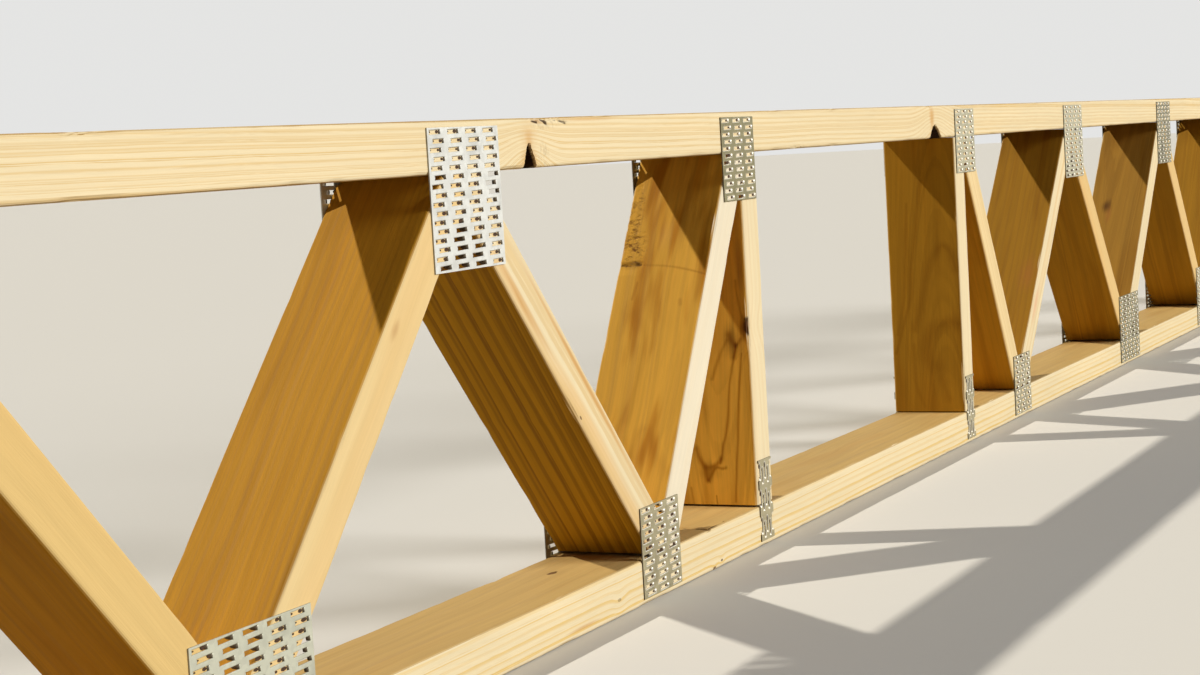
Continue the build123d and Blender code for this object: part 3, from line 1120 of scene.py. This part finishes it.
def build_plate(name, pit_shades, timbers, rng, lip_steps):
    """A plate as one closed sheet, its slots open and their teeth bent back into the timber."""
    middle, columns, rows, along, across, out, upright = plate_grid(name)
    mesh = bmesh.new()
    half_sheet = out * (PLATE_THICK / 2)
    root_reach = SLOT_LENGTH / 2 + BEND_RADIUS + PLATE_THICK

    def place_at(column, row, stagger=0.0):
        return (middle + along * ((column - columns / 2) * COLUMN_PITCH + stagger)
                + across * ((row - rows / 2) * ROW_PITCH))

    def slot_end(centre, way, outermost):
        """One end of a slot: its tooth, and the painted shade of the tooth's hole in front of it.
        """
        start = centre + along * (way * root_reach) + across * (way * SLOT_SLANT)
        wood = wood_behind(start.x, start.z, timbers)
        nub = OUTER_NUB_LENGTH if outermost else NUB_LENGTH
        root = add_tooth(mesh, start, along * -way, out, across, TOOTH_LENGTH if wood else nub,
                         lip_steps)
        size = rng.uniform(*PIT_SIZES)
        size *= WEB_PIT_SHARE if wood and "web" in wood else OTHER_PIT_SHARE
        # Less painted shade at the slot ends that point left or down
        if (along * way).x < -0.5 or (along * way).z < -0.5:
            size *= NEAR_PIT_SHARE
        spot = centre + along * (way * (SLOT_LENGTH / 2 - PIT_LENGTH * size * 0.42)) - half_sheet
        if wood_behind(spot.x, spot.z, timbers):
            add_pit(pit_shades, spot - out * 0.0001 + Vector((0, 0, 0.0002)), along, across, out,
                    PIT_LENGTH * size, SLOT_WIDTH * 0.47 * min(1, size))
        return (root[0], root[3]), (root[1], root[2])

    corners = {}
    for i in range(columns + 1):
        for j in range(rows + 1):
            point = place_at(i, j)
            corners[i, j] = mesh.verts.new(point + half_sheet), mesh.verts.new(point - half_sheet)
    for j in range(rows):
        stagger = -SLOT_STAGGER / 2 if j % 2 else SLOT_STAGGER / 2
        for i in range(columns):
            centre = place_at(i + 0.5, j + 0.5, stagger)
            left = slot_end(centre, -1, i == 0)
            right = slot_end(centre, 1, i == columns - 1)
            sides = (("low", j == 0), ("high", j == rows - 1), ("left", i == 0),
                     ("right", i == columns - 1))
            borders = {side for side, there in sides if there}
            openings = borders & {"low", "high"} if upright else set()
            cell = corners[i, j], corners[i + 1, j], corners[i + 1, j + 1], corners[i, j + 1]
            build_cell(mesh, cell, left, right, openings, borders)
    return mesh


def dress_plates():
    rng = random.Random(RANDOM_SEED)
    zinc = {kind: zinc_material(kind) for kind in ZINC}
    pit_shades = {face: bmesh.new() for face in ("front", "rear")}
    timbers = [(name, *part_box(name), timber_angle(name)) for name in nodes_of(plates=False)]
    for name in nodes_of(plates=True):
        joint, face = name.removeprefix("plate_").rsplit("_", 1)
        kind = SHEET_SHADES.get(joint, "middling")
        plain = kind in PLAIN_SHEETS
        lip_steps = PLAIN_LIP_STEPS if plain else BEND_STEPS
        mesh = build_plate(name, pit_shades[face], timbers, rng, lip_steps)
        # Front sheets that are not plain take the lip's painted highlight; every sheet's teeth
        # take the shank's painted shade, and so do the slot walls of sheets that are not plain
        lip = kind if plain or face == "rear" else "lip"
        slots = (kind, "shank", lip, "cut" if plain else "shank")
        piece = add_piece(f"sheet_{name}", mesh, *(zinc[slot] for slot in slots))
        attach(piece, "root")
        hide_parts(name)
    painted_pit_shade = pit_shade_material()
    for face, mesh in pit_shades.items():
        piece = add_piece(f"pits_{face}", mesh, painted_pit_shade)
        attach(piece, "root")


# Stage: the colours that the floor and the world show, and those that light the part

FLOOR_SIZE = 40.0
FLOOR_SHOWN = (0.66, 0.65, 0.62, 1)
FLOOR_LIGHT = (0.33, 0.285, 0.205, 1)
SKY_SHOWN = (0.78, 0.78, 0.77, 1)
LOW_SKY = (0.29, 0.28, 0.25, 1)
HIGH_SKY = (0.02, 0.02, 0.02, 1)
SKY_RISE = (-0.02, 0.25)
# Lamps: where each one's light goes, its strength, its colour and its angle in degrees
SUNS = {
    "front": ((-0.25, 1.0, -0.45), 3.12, (1.0, 0.98, 0.95), 25),
    "rear_left": ((0.35, -1.0, -1.20), 2.75, (1.0, 0.93, 0.80), 1.5),
}


def add_floor():
    mesh = bmesh.new()
    bmesh.ops.create_grid(mesh, x_segments=1, y_segments=1, size=FLOOR_SIZE)
    material, graph, shader = new_material("floor")
    colour = graph.mix(graph.seen_itself(), FLOOR_LIGHT, FLOOR_SHOWN)
    graph.feed(shader, {"Base Color": colour, "Roughness": 0.9, "Specular IOR Level": 0.1})
    add_piece("floor", mesh, material)


def add_sun(name, towards, strength, colour, angle):
    light = bpy.data.lights.new(name, "SUN")
    light.energy = strength
    light.color = colour
    light.angle = math.radians(angle)
    lamp = bpy.data.objects.new(name, light)
    lamp.rotation_euler = Vector(towards).to_track_quat("-Z", "Y").to_euler()
    scene.collection.objects.link(lamp)


def add_world():
    world = bpy.data.worlds.new("world")
    scene.world = world
    world.use_nodes = True
    graph = Graph(world.node_tree)
    through = graph.node("LightPath").outputs["Is Transmission Ray"]
    seen = graph.seen_itself().at_least(Value(graph, through))
    towards = Place(graph, graph.node("TexCoord").outputs["Generated"])
    light = graph.mix(towards.parts()[2].above(*SKY_RISE), LOW_SKY, HIGH_SKY)
    background = world.node_tree.nodes["Background"]
    graph.feed(background, {"Color": graph.mix(seen, light, SKY_SHOWN)})


def add_camera():
    data = bpy.data.cameras.new("camera")
    data.sensor_width = SENSOR_WIDTH
    data.lens = FOCAL_PIXELS * SENSOR_WIDTH / IMAGE_WIDTH
    data.clip_start = CLIP_START
    camera = bpy.data.objects.new("camera", data)
    turns = ((-CAMERA_AZIMUTH, "Z"), (math.pi / 2 + CAMERA_PITCH, "X"), (-CAMERA_ROLL, "Z"))
    camera.matrix_world = Matrix.Translation(CAMERA_PLACE)
    for turn, axis in turns:
        camera.matrix_world = camera.matrix_world @ Matrix.Rotation(turn, 4, axis)
    scene.collection.objects.link(camera)
    scene.camera = camera


dress_timbers()
dress_plates()
add_floor()
add_world()
for name, settings in SUNS.items():
    add_sun(name, *settings)
add_camera()
scene.view_settings.view_transform = "Standard"
